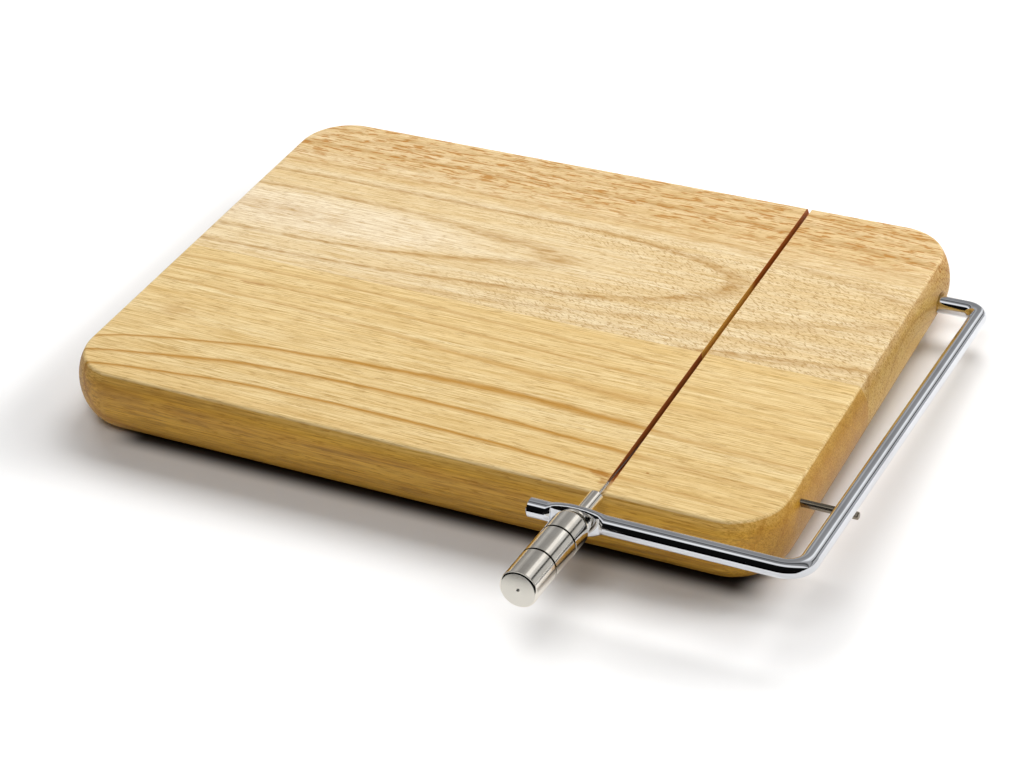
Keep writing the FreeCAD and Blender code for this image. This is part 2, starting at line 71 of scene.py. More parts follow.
class Graph:
    """The nodes of a material or a world, built with short calls. A value is a socket or a plain number."""

    def __init__(self, holder):
        holder.use_nodes = True
        self.holder = holder
        self.tree = holder.node_tree
        self.tree.nodes.clear()

    def node(self, kind, inputs=None, **settings):
        made = self.tree.nodes.new(kind)
        for key, value in settings.items():
            setattr(made, key, value)
        for key, value in (inputs or {}).items():
            self.feed(made.inputs[key], value)
        return made

    def feed(self, socket, value):
        if isinstance(value, bpy.types.NodeSocket):
            self.tree.links.new(value, socket)
        else:
            socket.default_value = value

    def result(self, kind, values, **settings):
        """The first output of a node whose first inputs have these values."""
        return self.node(kind, dict(enumerate(values)), **settings).outputs[0]

    def math(self, operation, first, second=0.0):
        return self.result("ShaderNodeMath", (first, second), operation=operation)

    def add(self, first, second):
        return self.math("ADD", first, second)

    def subtract(self, first, second):
        return self.math("SUBTRACT", first, second)

    def times(self, first, second):
        return self.math("MULTIPLY", first, second)

    def larger(self, first, second):
        return self.math("MAXIMUM", first, second)

    def length(self, first, second):
        """The length of a plane vector with these two parts."""
        return self.math("SQRT", self.add(self.times(first, first), self.times(second, second)))

    def steps(self, value, low, high, low_result=0.0, high_result=1.0):
        """Goes smoothly from low_result to high_result while value goes from low to high."""
        numbers = (value, low, high, low_result, high_result)
        return self.result("ShaderNodeMapRange", numbers, interpolation_type="SMOOTHSTEP")

    def falls(self, value, low, high):
        """Goes smoothly from 1 to 0 while value goes from low to high."""
        return self.steps(value, low, high, 1.0, 0.0)

    def between(self, value, rise, fall):
        """Rises from 0 to 1 over the first slope and falls back to 0 over the second."""
        return self.times(self.steps(value, *rise), self.falls(value, *fall))

    def spans(self, value, low, high, low_result=0.0, high_result=1.0):
        """Goes evenly from low_result to high_result, and stays there outside low to high."""
        return self.result("ShaderNodeMapRange", (value, low, high, low_result, high_result), clamp=True)

    def curve(self, value, points):
        """A smooth function of value through the points (value, result)."""
        places = [place for place, _ in points]
        results = [result for _, result in points]
        low, high = min(results), max(results)
        made = self.node("ShaderNodeFloatCurve")
        self.feed(made.inputs["Value"], self.spans(value, places[0], places[-1]))
        line = made.mapping.curves[0]
        while len(line.points) < len(points):
            line.points.new(0.5, 0.5)
        for knot, (place, result) in zip(line.points, points):
            share = (place - places[0]) / (places[-1] - places[0])
            knot.location = (share, (result - low) / (high - low))
        made.mapping.update()
        return self.spans(made.outputs[0], 0.0, 1.0, low, high)

    def ramp(self, value, stops):
        """A grey for value from 0 to 1, from stops of (place, grey) in order."""
        made = self.node("ShaderNodeValToRGB", {"Fac": value})
        band = made.color_ramp
        while len(band.elements) < len(stops):
            band.elements.new(1.0)
        for element, (place, grey) in zip(band.elements, stops):
            element.position = place
            element.color = (grey, grey, grey, 1)
        return made.outputs["Color"]

    def mix(self, share, first, second, blend="MIX"):
        """A colour between first and second."""
        made = self.node("ShaderNodeMix", data_type="RGBA", blend_type=blend)
        self.feed(made.inputs["Factor"], share)
        for socket, value in ((made.inputs["A"], first), (made.inputs["B"], second)):
            self.feed(socket, (*value, 1) if isinstance(value, tuple) else value)
        return made.outputs["Result"]

    def layered(self, colour, layers):
        """The colour with each layer of (share, tint) laid over it in turn."""
        for share, tint in layers:
            colour = self.mix(share, colour, tint)
        return colour

    def parts(self, vector):
        """A vector's x, y and z."""
        return tuple(self.node("ShaderNodeSeparateXYZ", {0: vector}).outputs)

    def vector(self, x, y, z):
        return self.result("ShaderNodeCombineXYZ", (x, y, z))

    def place(self):
        """The millimetre coordinates of a point, as three sockets."""
        coordinates = self.node("ShaderNodeTexCoord").outputs["Object"]
        scale = (MM_PER_M, MM_PER_M, MM_PER_M)
        return self.parts(self.result("ShaderNodeVectorMath", (coordinates, scale), operation="MULTIPLY"))

    def scaled(self, place, factors):
        """The place as a vector, each coordinate times its own factor."""
        return self.vector(*(self.times(part, factor) for part, factor in zip(place, factors)))

    def dot(self, vector, direction):
        made = self.node("ShaderNodeVectorMath", {0: vector, 1: tuple(direction)}, operation="DOT_PRODUCT")
        return made.outputs["Value"]

    def noise(self, vector, scale=1.0, detail=2.0, roughness=0.5):
        inputs = {"Vector": vector, "Scale": scale, "Detail": detail, "Roughness": roughness}
        return self.node("ShaderNodeTexNoise", inputs).outputs[0]

    def bump(self, height, depth, strength):
        """The surface's normal over a relief this deep."""
        inputs = {"Height": height, "Distance": depth * MM, "Strength": strength}
        return self.node("ShaderNodeBump", inputs).outputs[0]

    def finish(self, **inputs):
        """Ends the material in one Principled shader."""
        shader = self.node("ShaderNodeBsdfPrincipled")
        for key, value in inputs.items():
            self.feed(shader.inputs[key.replace("_", " ")], value)
        output = self.node("ShaderNodeOutputMaterial")
        self.tree.links.new(shader.outputs[0], output.inputs[0])
        return self.holder


def material_graph(name):
    return Graph(bpy.data.materials.new(name))


# Wood ----------------------------------------------------------------------------------------------------
# Both planks are sawn beside the pith, so their growth rings are shells round a line along the board.

RING_WAVE = 0.7                 # how far a ring strays from its shell
QUICK_WAVE_SHARE = 0.25
RING_INNER_SHARE = 0.4          # a ring's line begins this share of its thickness inside its radius
SIDE_RINGS = 0.70               # how strongly the rings show on the sides

# How far a surface faces up, from a side to the top face, and along the board on its ends.
SIDE_TO_TOP = (0.30, 0.80)
SIDE_TO_END = (0.45, 0.95)
ARRIS_RISE, ARRIS_FALL = (0.45, 0.75), (0.88, 0.99)
WORN_RISE, WORN_FALL = (0.20, 0.60), (0.90, 0.99)

# The sides' deeper tone: partly their oiled side grain, partly painted shade.
SIDE_OIL_AND_SHADE = (0.86, 0.63, 0.150)
SIDE_STREAK = (0.270, 0.115, 0.018)
STREAK_ON_SIDE, STREAK_ON_END = 0.60, 0.15
STREAK_SHOWS = (0.46, 0.66)
MOTTLE_SHOWS = (0.38, 0.60, 0.25, 1.0)
# A painted highlight along the arris round the top.
ARRIS_HIGHLIGHT = (0.85, 0.70, 0.40)
ARRIS_HIGHLIGHT_SHARE = 0.05

KERF_HALF_WIDTH = 0.9
KERF_DEPTH = [(-93, 0.0), (-63, 4.1), (64.3, 16.9), (93, 19.8)]     # (y, depth of the kerf's floor)
OFF_WALL = (0.01, 0.12)         # the kerf's brown ends over this slope outside the kerf's walls
UNDER_FLOOR = (-0.5, -0.1)      # and over this one below its floor
KERF_SHADE_SLOPE = (-89.0, -78.0, 0.15, 1.0)        # along y, where the kerf gets deep enough to be brown: painted shade in the deeper kerf

PORE_SINK, LINE_SINK, STREAK_RISE = 0.9, 0.25, 0.35
WOOD_RELIEF, WOOD_RELIEF_STRENGTH = 0.12, 0.55
OILED_ROUGHNESS = (0.38, 0.48)
PORE_ROUGHNESS = 0.2
OILED_SHINE, MATT_SHINE = 0.40, 0.06

PORE_BROWN = (0.410, 0.215, 0.050)


def grain_noise(graph, place, length, width, detail=2.0, roughness=0.5):
    """Noise with features this long along the board and this wide across it."""
    vector = graph.scaled(place, (1 / length, 1 / width, 1 / width))
    return graph.noise(vector, detail=detail, roughness=roughness)


def fine_streaks(graph, place, length):
    return grain_noise(graph, place, length, width=0.5, detail=5.0, roughness=0.72)


def broad_bands(graph, place):
    return grain_noise(graph, place, length=170.0, width=5.0, detail=3.0, roughness=0.55)


def flecks(graph, place, length, width, shows):
    """Irregular pores along the grain, as a grey from 0 to 1. Fewer show as the slope in shows rises."""
    return graph.steps(grain_noise(graph, place, length, width, roughness=0.6), *shows)


def slanted_place(graph, place, angle):
    """The place in coordinates turned about +Z, for flecks that cross the grain."""
    x, y, z = place
    cosine, sine = math.cos(math.radians(angle)), math.sin(math.radians(angle))
    turned_x = graph.add(graph.times(x, cosine), graph.times(y, sine))
    turned_y = graph.subtract(graph.times(y, cosine), graph.times(x, sine))
    return turned_x, turned_y, z


def facing(graph):
    """How far the surface faces along the grain, from 0 to 1, and how far up, from -1 to 1."""
    x, _, z = graph.parts(graph.node("ShaderNodeNewGeometry").outputs["Normal"])
    return graph.math("ABSOLUTE", x), z


def ring_radius(graph, place, pith_y, pith_depth):
    """Distance from the tree's pith, a line along the board below its top face, with some waviness."""
    x, y, z = place
    across = graph.subtract(y, graph.curve(x, pith_y))
    below = graph.subtract(graph.add(z, graph.curve(x, pith_depth)), TOP_Z)
    slow = grain_noise(graph, place, length=80.0, width=20.0)
    quick = grain_noise(graph, place, length=9.0, width=5.0, detail=3.0)
    wave = graph.add(graph.times(slow, 1.0 - QUICK_WAVE_SHARE), graph.times(quick, QUICK_WAVE_SHARE))
    return graph.add(graph.length(across, below), graph.spans(wave, 0.0, 1.0, -RING_WAVE, RING_WAVE))


def ring_lines(graph, radius, rings):
    """The growth rings' darker lines, from (radius, strength, thickness), as a grey from 0 to 1."""
    low = rings[0][0] - rings[0][2]
    high = rings[-1][0] + rings[-1][2]
    stops = []
    for middle, strength, thickness in rings:
        inner = middle - RING_INNER_SHARE * thickness
        for place, grey in ((inner, 0.0), (middle, strength), (middle + thickness, 0.0)):
            stops.append(((place - low) / (high - low), grey))
    grey = graph.ramp(graph.spans(radius, low, high), stops)
    _, upward = facing(graph)
    return graph.times(grey, graph.steps(upward, *SIDE_TO_TOP, SIDE_RINGS, 1.0))


def side_shade_grain_and_highlight(graph, place, colour, end_tint):
    """Deepens the sides, partly their oiled grain and partly painted shade, streaks them, tints the end
    grain, and paints a pale highlight along the arris round the top.
    """
    endwise, upward = facing(graph)
    side = graph.falls(upward, *SIDE_TO_TOP)
    end = graph.steps(endwise, *SIDE_TO_END)
    # Painted shade, with the oiled grain's deeper tone, on the sides.
    colour = graph.mix(side, colour, SIDE_OIL_AND_SHADE, "MULTIPLY")
    colour = graph.mix(graph.times(side, end), colour, end_tint, "MULTIPLY")
    streak = grain_noise(graph, place, length=26.0, width=1.3, detail=4.0, roughness=0.65)
    mottle = grain_noise(graph, place, length=14.0, width=4.0)
    dark = graph.times(graph.spans(streak, *STREAK_SHOWS), graph.spans(mottle, *MOTTLE_SHOWS))
    dark = graph.times(dark, graph.spans(end, 0.0, 1.0, STREAK_ON_SIDE, STREAK_ON_END))
    # A painted highlight along the arris.
    arris = graph.between(upward, ARRIS_RISE, ARRIS_FALL)
    return graph.layered(colour, [
        (graph.times(side, dark), SIDE_STREAK),
        (graph.times(arris, ARRIS_HIGHLIGHT_SHARE), ARRIS_HIGHLIGHT),
    ])


def kerf_share(graph, place):
    """1 on the kerf's walls and floor, fading where the kerf is shallow, and 0 below its floor; the fade is
    painted shade.
    """
    x, y, z = place
    offset = graph.math("ABSOLUTE", graph.subtract(x, WIRE_X * MM_PER_M))
    between_walls = graph.falls(offset, *(KERF_HALF_WIDTH + slack for slack in OFF_WALL))
    over_floor = graph.add(graph.subtract(z, TOP_Z), graph.curve(y, KERF_DEPTH))
    in_kerf = graph.times(between_walls, graph.steps(over_floor, *UNDER_FLOOR))
    return graph.times(in_kerf, graph.steps(y, *KERF_SHADE_SLOPE))


def wood_surface(graph, colour, lines, pores, streaks, in_kerf):
    """The oiled satin finish over a wood colour, matt in the kerf and on the worn arris."""
    sunk = graph.add(graph.times(pores, PORE_SINK), graph.times(lines, LINE_SINK))
    height = graph.subtract(graph.times(streaks, STREAK_RISE), sunk)
    between_pores = graph.spans(streaks, *NOISE_SPAN, *OILED_ROUGHNESS)
    _, upward = facing(graph)
    matt = graph.larger(graph.between(upward, WORN_RISE, WORN_FALL), in_kerf)
    return graph.finish(
        Base_Color=colour,
        Roughness=graph.add(between_pores, graph.times(pores, PORE_ROUGHNESS)),
        Specular_IOR_Level=graph.spans(matt, 0.0, 1.0, OILED_SHINE, MATT_SHINE),
        Normal=graph.bump(height, WOOD_RELIEF, WOOD_RELIEF_STRENGTH),
    )


# Front plank's wood --------------------------------------------------------------------------------------

FRONT_PITH_Y = [(-127, -50.7), (-85, -45.8), (-50, -44.3), (0, -45.0), (70, -48.0), (127, -50.0)]     # (x, y)
FRONT_PITH_DEPTH = [(-127, 22.3), (-85, 26.4), (-50, 28.0), (0, 29.2), (70, 29.4), (127, 29.3)]   # (x, depth)
FRONT_RINGS = [(20.5, 0.5, 1.5), (25.0, 0.6, 1.5), (30.05, 1.0, 0.75), (35.3, 1.0, 1.15), (41.8, 1.0, 1.30),
               (49.0, 0.15, 1.9), (55.5, 0.4, 1.9)]
# Added to the radius across the plank, as the shells aren't quite round: (y, millimetres).
FRONT_RING_DRIFT = [(-92, -1.8), (-77, -1.6), (-65, 0.0), (-25, 0.0), (-16, 1.0), (0, 1.0)]
FRONT_FADE_RIGHT = (62.0, 84.0, 1.0, 0.45)          # the lines' strength along x
FRONT_FADE_GLUE = (-46.0, -40.0, 1.0, 0.50)         # and along y, towards the glue line
FRONT_FADE_INNER = (26.5, 28.5, 0.12, 1.0)          # and along the radius, on the inner rings
FRONT_INNER_SHOW = (80.0, 110.0)                    # along x, where the inner rings show after all
FRONT_LINE_SHARE = 0.95
FRONT_LINE = (0.455, 0.205, 0.012)

FRONT_BANDS = ((0.815, 0.585, 0.262), (0.915, 0.735, 0.412))
FRONT_DEEP_SLOPE = (-85.0, -15.0, 0.15, 0.0)        # along y
FRONT_DEEP = (0.720, 0.500, 0.195)
FRONT_STREAK_LENGTH = 22.0
FRONT_STREAK_SHOWS = (0.42, 0.66)
FRONT_STREAK = (0.560, 0.345, 0.100)
FRONT_PORE_SHARE = 0.55
FRONT_END_TINT = (0.72, 0.67, 0.60)
# The kerf's dark browns, shown more where the kerf is deeper, as painted shade.
FRONT_KERF_BROWNS = ((0.290, 0.070, 0.015), (0.500, 0.165, 0.040))

# The front plank's few single marks: place, half size, strength.
FRONT_MARKS = [
    ((66.5, -80.5), (4.5, 2.2), 0.75),
    ((68.8, -84.0), (1.6, 2.6), 0.55),
    ((79.8, -75.2), (0.7, 0.45), 0.95),
    ((-89.0, -23.4), (8.5, 0.8), 0.55),
    ((-107.0, -48.0), (9.0, 4.0), 0.18),
]
MARK_BROWN = (0.380, 0.150, 0.010)
MARK_FRAY = 0.4
MARK_EDGE = (0.3, 1.1)
MARK_DEPTHS = (TOP_Z - 2.0, TOP_Z - 1.0)            # a mark fades out over these heights

# The reddish patch at the upper left of the front face; its lower edge climbs to the right.
RED_PATCH_LEFT = (-104.0, -78.0)
RED_PATCH_CLIMB = 0.12
RED_PATCH_HEIGHT = (27.0, 33.0)
RED_PATCH_SHOWS = (0.36, 0.56)
RED_PATCH_SHARE = 0.75
RED_PATCH = (0.215, 0.070, 0.014)
FRONT_FACE_UP = (0.2, 0.5)
FRONT_FACE_ENDWISE = (0.15, 0.45)


def single_mark(graph, place, middle, half_size):
    """A soft mark on the top face, as a grey from 0 to 1."""
    x, y, z = place
    along = graph.times(graph.subtract(x, middle[0]), 1 / half_size[0])
    across = graph.times(graph.subtract(y, middle[1]), 1 / half_size[1])
    fray = grain_noise(graph, place, length=3.0, width=0.8)
    frayed = graph.add(graph.length(along, across), graph.spans(fray, *NOISE_SPAN, -MARK_FRAY, MARK_FRAY))
    return graph.times(graph.falls(frayed, *MARK_EDGE), graph.steps(z, *MARK_DEPTHS))


def red_patch(graph, place):
    """The reddish patch on the front face, as a grey from 0 to 1."""
    x, _, z = place
    patch = graph.spans(grain_noise(graph, place, length=18.0, width=5.0, detail=3.0), *RED_PATCH_SHOWS)
    climb = graph.subtract(z, graph.times(x, RED_PATCH_CLIMB))
    upper_left = graph.times(graph.falls(x, *RED_PATCH_LEFT), graph.steps(climb, *RED_PATCH_HEIGHT))
    endwise, upward = facing(graph)
    frontal = graph.times(graph.falls(upward, *FRONT_FACE_UP), graph.falls(endwise, *FRONT_FACE_ENDWISE))
    return graph.times(graph.times(patch, upper_left), frontal)


def front_lines(graph, place):
    """The front plank's growth rings, fainter at the right, near the glue line and close to the pith."""
    x, y, _ = place
    radius = ring_radius(graph, place, FRONT_PITH_Y, FRONT_PITH_DEPTH)
    radius = graph.add(radius, graph.curve(y, FRONT_RING_DRIFT))
    lines = graph.times(ring_lines(graph, radius, FRONT_RINGS), graph.steps(x, *FRONT_FADE_RIGHT))
    inner = graph.larger(graph.steps(radius, *FRONT_FADE_INNER), graph.steps(x, *FRONT_INNER_SHOW))
    return graph.times(graph.times(lines, inner), graph.steps(y, *FRONT_FADE_GLUE))


def front_wood():
    """The front plank: strong rings, a few single marks, a reddish patch, and a dark brown kerf, browner
    where deep as painted shade.
    """
    graph = material_graph("wood_front_finish")
    place = graph.place()
    _, y, _ = place
    lines = front_lines(graph, place)
    streaks = fine_streaks(graph, place, FRONT_STREAK_LENGTH)
    pores = flecks(graph, place, length=6.0, width=0.42, shows=(0.57, 0.68))
    marks = []
    for middle, half_size, strength in FRONT_MARKS:
        marks.append((graph.times(single_mark(graph, place, middle, half_size), strength), MARK_BROWN))
    colour = graph.mix(graph.spans(broad_bands(graph, place), *NOISE_SPAN), *FRONT_BANDS)
    colour = graph.layered(colour, [
        (graph.steps(y, *FRONT_DEEP_SLOPE), FRONT_DEEP),
        (graph.spans(streaks, *FRONT_STREAK_SHOWS), FRONT_STREAK),
        (graph.times(lines, FRONT_LINE_SHARE), FRONT_LINE),
        *marks,
        (graph.times(pores, FRONT_PORE_SHARE), PORE_BROWN),
    ])
    colour = side_shade_grain_and_highlight(graph, place, colour, FRONT_END_TINT)
    in_kerf = kerf_share(graph, place)
    kerf_brown = graph.mix(grain_noise(graph, place, length=2.0, width=8.0), *FRONT_KERF_BROWNS)
    colour = graph.layered(colour, [
        (graph.times(red_patch(graph, place), RED_PATCH_SHARE), RED_PATCH),
        # The kerf's browns, more where it is deep: painted shade.
        (in_kerf, kerf_brown),
    ])
    return wood_surface(graph, colour, lines, pores, streaks, in_kerf)


# Rear plank's wood ---------------------------------------------------------------------------------------

REAR_PITH_Y = [(-127, 23.5), (-60, 25.0), (0, 28.0), (30, 29.8), (65, 32.0), (127, 34.0)]             # (x, y)
REAR_PITH_DEPTH = [(-127, 47.8), (-70, 48.1), (-30, 49.2), (0, 50.0), (45, 52.7), (80, 55.8), (127, 58.8)]
REAR_RINGS = [(47.9, 0.4, 0.4), (50.0, 1.0, 0.60), (54.4, 1.0, 1.0), (58.7, 0.6, 1.2), (63.0, 0.4, 1.5),
              (67.4, 1.0, 2.0), (72.0, 0.6, 1.8), (76.0, 0.8, 1.8), (81.0, 0.6, 1.8)]
REAR_LINE_BREAKS = (0.36, 0.62, 0.30, 1.0)
REAR_LINE_SHARE = 0.85
REAR_LINE = (0.430, 0.215, 0.040)

REAR_BANDS = ((0.815, 0.615, 0.330), (0.925, 0.785, 0.530))
REAR_STREAK_LENGTH = 16.0
REAR_STREAK_SHOWS = (0.42, 0.68)
REAR_STREAK = (0.580, 0.370, 0.130)
REAR_PORE_SHARE = 0.50
REAR_END_TINT = (0.85, 0.92, 1.40)
REAR_KERF_BROWN_SLOPE = (34.0, 40.0)                    # along y, where the kerf goes from tan to brown
REAR_KERF_BROWNS = ((0.700, 0.370, 0.070), (0.460, 0.130, 0.020))

# The pale tongue at the left, inside the first strong ring.
TONGUE_RADIUS = (48.5, 50.2)
TONGUE_X = (-60.0, 30.0)
TONGUE_SHARE = 0.80
TONGUE_PALE = (0.985, 0.870, 0.665)

# The darker back edge and its long flecks.
BACK_EDGE = (48.0, 72.0)                            # along y
BACK_EDGE_SHARE = 0.36
BACK_EDGE_TAN = (0.760, 0.500, 0.215)
LONG_FLECK_SHARE = 0.85
LONG_FLECK = (0.470, 0.205, 0.035)

# The short flecks that cross the grain, on the right half and ahead of the back edge.
SLANT = -30.0
SLANTED_X = (-60.0, 20.0)
SLANTED_Y = (46.0, 58.0)
SLANTED_RADIUS = (50.5, 53.0)
SLANTED_SHARE = 0.60


def rear_tongue(graph, radius, x):
    """The pale tongue on the top face, as a grey from 0 to 1."""
    tongue = graph.times(graph.falls(radius, *TONGUE_RADIUS), graph.falls(x, *TONGUE_X))
    _, upward = facing(graph)
    return graph.times(tongue, graph.steps(upward, *SIDE_TO_TOP))


def slanted_flecks(graph, place, radius):
    """The short flecks that cross the grain, as a grey from 0 to 1."""
    x, y, _ = place
    off_edges = graph.times(graph.steps(x, *SLANTED_X), graph.falls(y, *SLANTED_Y))
    beside_rings = graph.steps(radius, *SLANTED_RADIUS)
    shown = flecks(graph, slanted_place(graph, place, SLANT), length=2.2, width=0.60, shows=(0.54, 0.64))
    return graph.times(shown, graph.times(off_edges, beside_rings))


def rear_wood():
    """The rear plank: broken rings, a pale tongue at the left, and a darker back edge with long flecks."""
    graph = material_graph("wood_rear_finish")
    place = graph.place()
    x, y, _ = place
    radius = ring_radius(graph, place, REAR_PITH_Y, REAR_PITH_DEPTH)
    broken = grain_noise(graph, place, length=5.0, width=1.0, detail=3.0)
    lines = graph.times(ring_lines(graph, radius, REAR_RINGS), graph.spans(broken, *REAR_LINE_BREAKS))
    streaks = fine_streaks(graph, place, REAR_STREAK_LENGTH)
    back_edge = graph.steps(y, *BACK_EDGE)
    pores = flecks(graph, place, length=4.5, width=0.50, shows=(0.56, 0.67))
    long_flecks = graph.times(flecks(graph, place, length=7.0, width=0.95, shows=(0.53, 0.60)), back_edge)
    slanted = slanted_flecks(graph, place, radius)
    colour = graph.mix(graph.spans(broad_bands(graph, place), *NOISE_SPAN), *REAR_BANDS)
    colour = graph.layered(colour, [
        (graph.times(rear_tongue(graph, radius, x), TONGUE_SHARE), TONGUE_PALE),
        (graph.times(back_edge, BACK_EDGE_SHARE), BACK_EDGE_TAN),
        (graph.spans(streaks, *REAR_STREAK_SHOWS), REAR_STREAK),
        (graph.times(lines, REAR_LINE_SHARE), REAR_LINE),
        (graph.times(pores, REAR_PORE_SHARE), PORE_BROWN),
        (graph.times(long_flecks, LONG_FLECK_SHARE), LONG_FLECK),
        (graph.times(slanted, SLANTED_SHARE), PORE_BROWN),
    ])
    colour = side_shade_grain_and_highlight(graph, place, colour, REAR_END_TINT)
    in_kerf = kerf_share(graph, place)
    colour = graph.mix(in_kerf, colour, graph.mix(graph.steps(y, *REAR_KERF_BROWN_SLOPE), *REAR_KERF_BROWNS))
    all_pores = graph.larger(graph.larger(pores, long_flecks), slanted)
    return wood_surface(graph, colour, lines, all_pores, streaks, in_kerf)


# Metals --------------------------------------------------------------------------------------------------
# Each pair of colours is the bright one and the dull one. A fineness is per millimetre along x, y and z.

CHROME = ((0.78, 0.80, 0.84), (0.68, 0.69, 0.72))
CHROME_ROUGHNESS = (0.03, 0.07)
SMUDGE_FINENESS = (0.05, 0.05, 0.2)

NICKEL = ((0.930, 0.890, 0.815), (0.830, 0.775, 0.690))
# The end face's tones: darker than the plate, as painted shade.
NICKEL_END_WITH_SHADE = ((0.86, 0.83, 0.76), (0.68, 0.65, 0.58))
NICKEL_ROUGHNESS = (0.10, 0.16)
PATCH_FINENESS = (0.3, 0.15, 0.3)
PATCH_ROUGHNESS = 0.04
TOOL_MARKS_ALONG, TOOL_MARKS_OUT = 5.0, 6.0         # how fine the tool's rings are
END_ON = (0.90, 0.97)                               # how far a face points along the wire's line
GROOVE_REACHES = (186.0, 199.2)                     # the handle's two grooves, from the hinge
GROOVE_HALF_WIDTH = (0.30, 0.50)                    # from a groove's middle
GROOVE_RADIUS = (5.86, 5.97)                        # just under the handle's own radius
# Painted shade in the handle's two grooves.
GROOVE_SHADE_DARK = (0.055, 0.045, 0.030)

PIN_STEEL, PIN_ROUGHNESS = (0.30, 0.26, 0.20), 0.16
DRAWN_DULLING = 0.75
DRAWN_ROUGHNESS_SPREAD = 0.12

# Painted shade for the groove between the strands, then the strands' bright steel.
WIRE_GROOVE_SHADE, WIRE_BRIGHT = (0.20, 0.145, 0.115), (0.92, 0.90, 0.87)
WIRE_ROUGHNESS = 0.16
WIRE_OUTER = (0.27, 0.46)                           # by radius, from the strands' groove to their outsides

BRASS = ((0.80, 0.62, 0.30), (0.62, 0.44, 0.18))
BRASS_ROUGHNESS = (0.22, 0.38)


def metal(graph, colour, roughness, marks, relief, strength=0.4):
    """Bare metal whose marks stand out by this relief."""
    return graph.finish(
        Base_Color=colour,
        Metallic=1.0,
        Roughness=roughness,
        Normal=graph.bump(marks, relief, strength),
    )


def chrome():
    """Polished plate with faint smudges, which ripples slightly."""
    graph = material_graph("chrome_finish")
    place = graph.place()
    smudge = graph.noise(graph.scaled(place, SMUDGE_FINENESS), detail=3.0)
    ripple = graph.noise(graph.vector(*place), scale=0.18)
    colour = graph.mix(graph.spans(smudge, 0.4, 0.7), *CHROME)
    roughness = graph.spans(smudge, 0.35, 0.75, *CHROME_ROUGHNESS)
    return metal(graph, colour, roughness, ripple, relief=0.03, strength=0.3)


def turned_place(graph):
    """Reach along the wire's line from the hinge, and distance from that line, in millimetres."""
    coordinates = graph.node("ShaderNodeTexCoord").outputs["Object"]
    offset = graph.result("ShaderNodeVectorMath", (coordinates, tuple(HINGE)), operation="SUBTRACT")
    directions = (WIRE_DIRECTION, RISE_DIRECTION, SIDEWAYS)
    reach, rise, side = (graph.times(graph.dot(offset, direction), MM_PER_M) for direction in directions)
    return reach, graph.length(rise, side)


def end_on(graph):
    """1 on faces square to the wire's line, such as the handle's end, and 0 elsewhere."""
    normal = graph.node("ShaderNodeTexCoord").outputs["Normal"]
    return graph.steps(graph.math("ABSOLUTE", graph.dot(normal, WIRE_DIRECTION)), *END_ON)


def painted_groove_shade(graph, reach, radius):
    """1 in the handle's two grooves, where shade is painted, and 0 elsewhere."""
    first, second = (graph.math("ABSOLUTE", graph.subtract(reach, middle)) for middle in GROOVE_REACHES)
    at_groove = graph.falls(graph.math("MINIMUM", first, second), *GROOVE_HALF_WIDTH)
    return graph.times(at_groove, graph.falls(radius, *GROOVE_RADIUS))


def nickel():
    """Turned nickel plate: fine rings from the tool, painted shade in the handle's two grooves, and a darker
    end face that is painted shade.
    """
    graph = material_graph("nickel_finish")
    reach, radius = turned_place(graph)
    along, out = graph.times(reach, TOOL_MARKS_ALONG), graph.times(radius, TOOL_MARKS_OUT)
    marks = graph.noise(graph.vector(along, out, 0.0), detail=3.0, roughness=0.7)
    patch = graph.noise(graph.scaled(graph.place(), PATCH_FINENESS), detail=3.0)
    plate = graph.mix(graph.spans(patch, 0.35, 0.7), *NICKEL)
    # The end face takes a darker copy of the nickel, as painted shade, with the tool's rings.
    shaded_end_face = graph.mix(graph.spans(marks, 0.35, 0.65), *NICKEL_END_WITH_SHADE)
    groove_shade = painted_groove_shade(graph, reach, radius)
    colour = graph.layered(plate, [(end_on(graph), shaded_end_face), (groove_shade, GROOVE_SHADE_DARK)])
    ringed = graph.spans(marks, *NOISE_SPAN, *NICKEL_ROUGHNESS)
    roughness = graph.add(ringed, graph.spans(patch, 0.4, 0.8, 0.0, PATCH_ROUGHNESS))
    return metal(graph, colour, roughness, marks, relief=0.005, strength=0.5)


def drawn_metal(graph, marks, colour, roughness):
    """Steel with the fine marks of drawing."""
    rough = graph.spans(marks, *NOISE_SPAN, roughness, roughness + DRAWN_ROUGHNESS_SPREAD)
    return metal(graph, colour, rough, marks, relief=0.02)


def drawing_marks(graph):
    return graph.noise(graph.vector(*graph.place()), scale=3.0, detail=3.0, roughness=0.6)


def pin_steel():
    """Plain steel for the pins."""
    graph = material_graph("pin_steel_finish")
    marks = drawing_marks(graph)
    dulled = tuple(DRAWN_DULLING * channel for channel in PIN_STEEL)
    colour = graph.mix(graph.spans(marks, 0.35, 0.7), PIN_STEEL, dulled)
    return drawn_metal(graph, marks, colour, PIN_ROUGHNESS)


def wire_steel():
    """Bright where the twisted strands stand out; painted shade darkens the groove between them, and the
    single wire too.
    """
    graph = material_graph("wire_steel_finish")
    _, radius = turned_place(graph)
    colour = graph.mix(graph.steps(radius, *WIRE_OUTER), WIRE_GROOVE_SHADE, WIRE_BRIGHT)
    return drawn_metal(graph, drawing_marks(graph), colour, WIRE_ROUGHNESS)


def brass():
    """Mottled brass for the crimped barrel."""
    graph = material_graph("brass_finish")
    marks = graph.noise(graph.vector(*graph.place()), scale=2.5, detail=3.0)
    roughness = graph.spans(marks, *NOISE_SPAN, *BRASS_ROUGHNESS)
    return metal(graph, graph.mix(marks, *BRASS), roughness, marks, relief=0.04)


def paint(node, material):
    """Gives a CAD node a finish, in every material slot that it has."""
    shape = frame["nodes"][node]
    if not shape.material_slots:
        shape.data.materials.append(material)
    for material_slot in shape.material_slots:
        material_slot.material = material


# Cutting wire --------------------------------------------------------------------------------------------

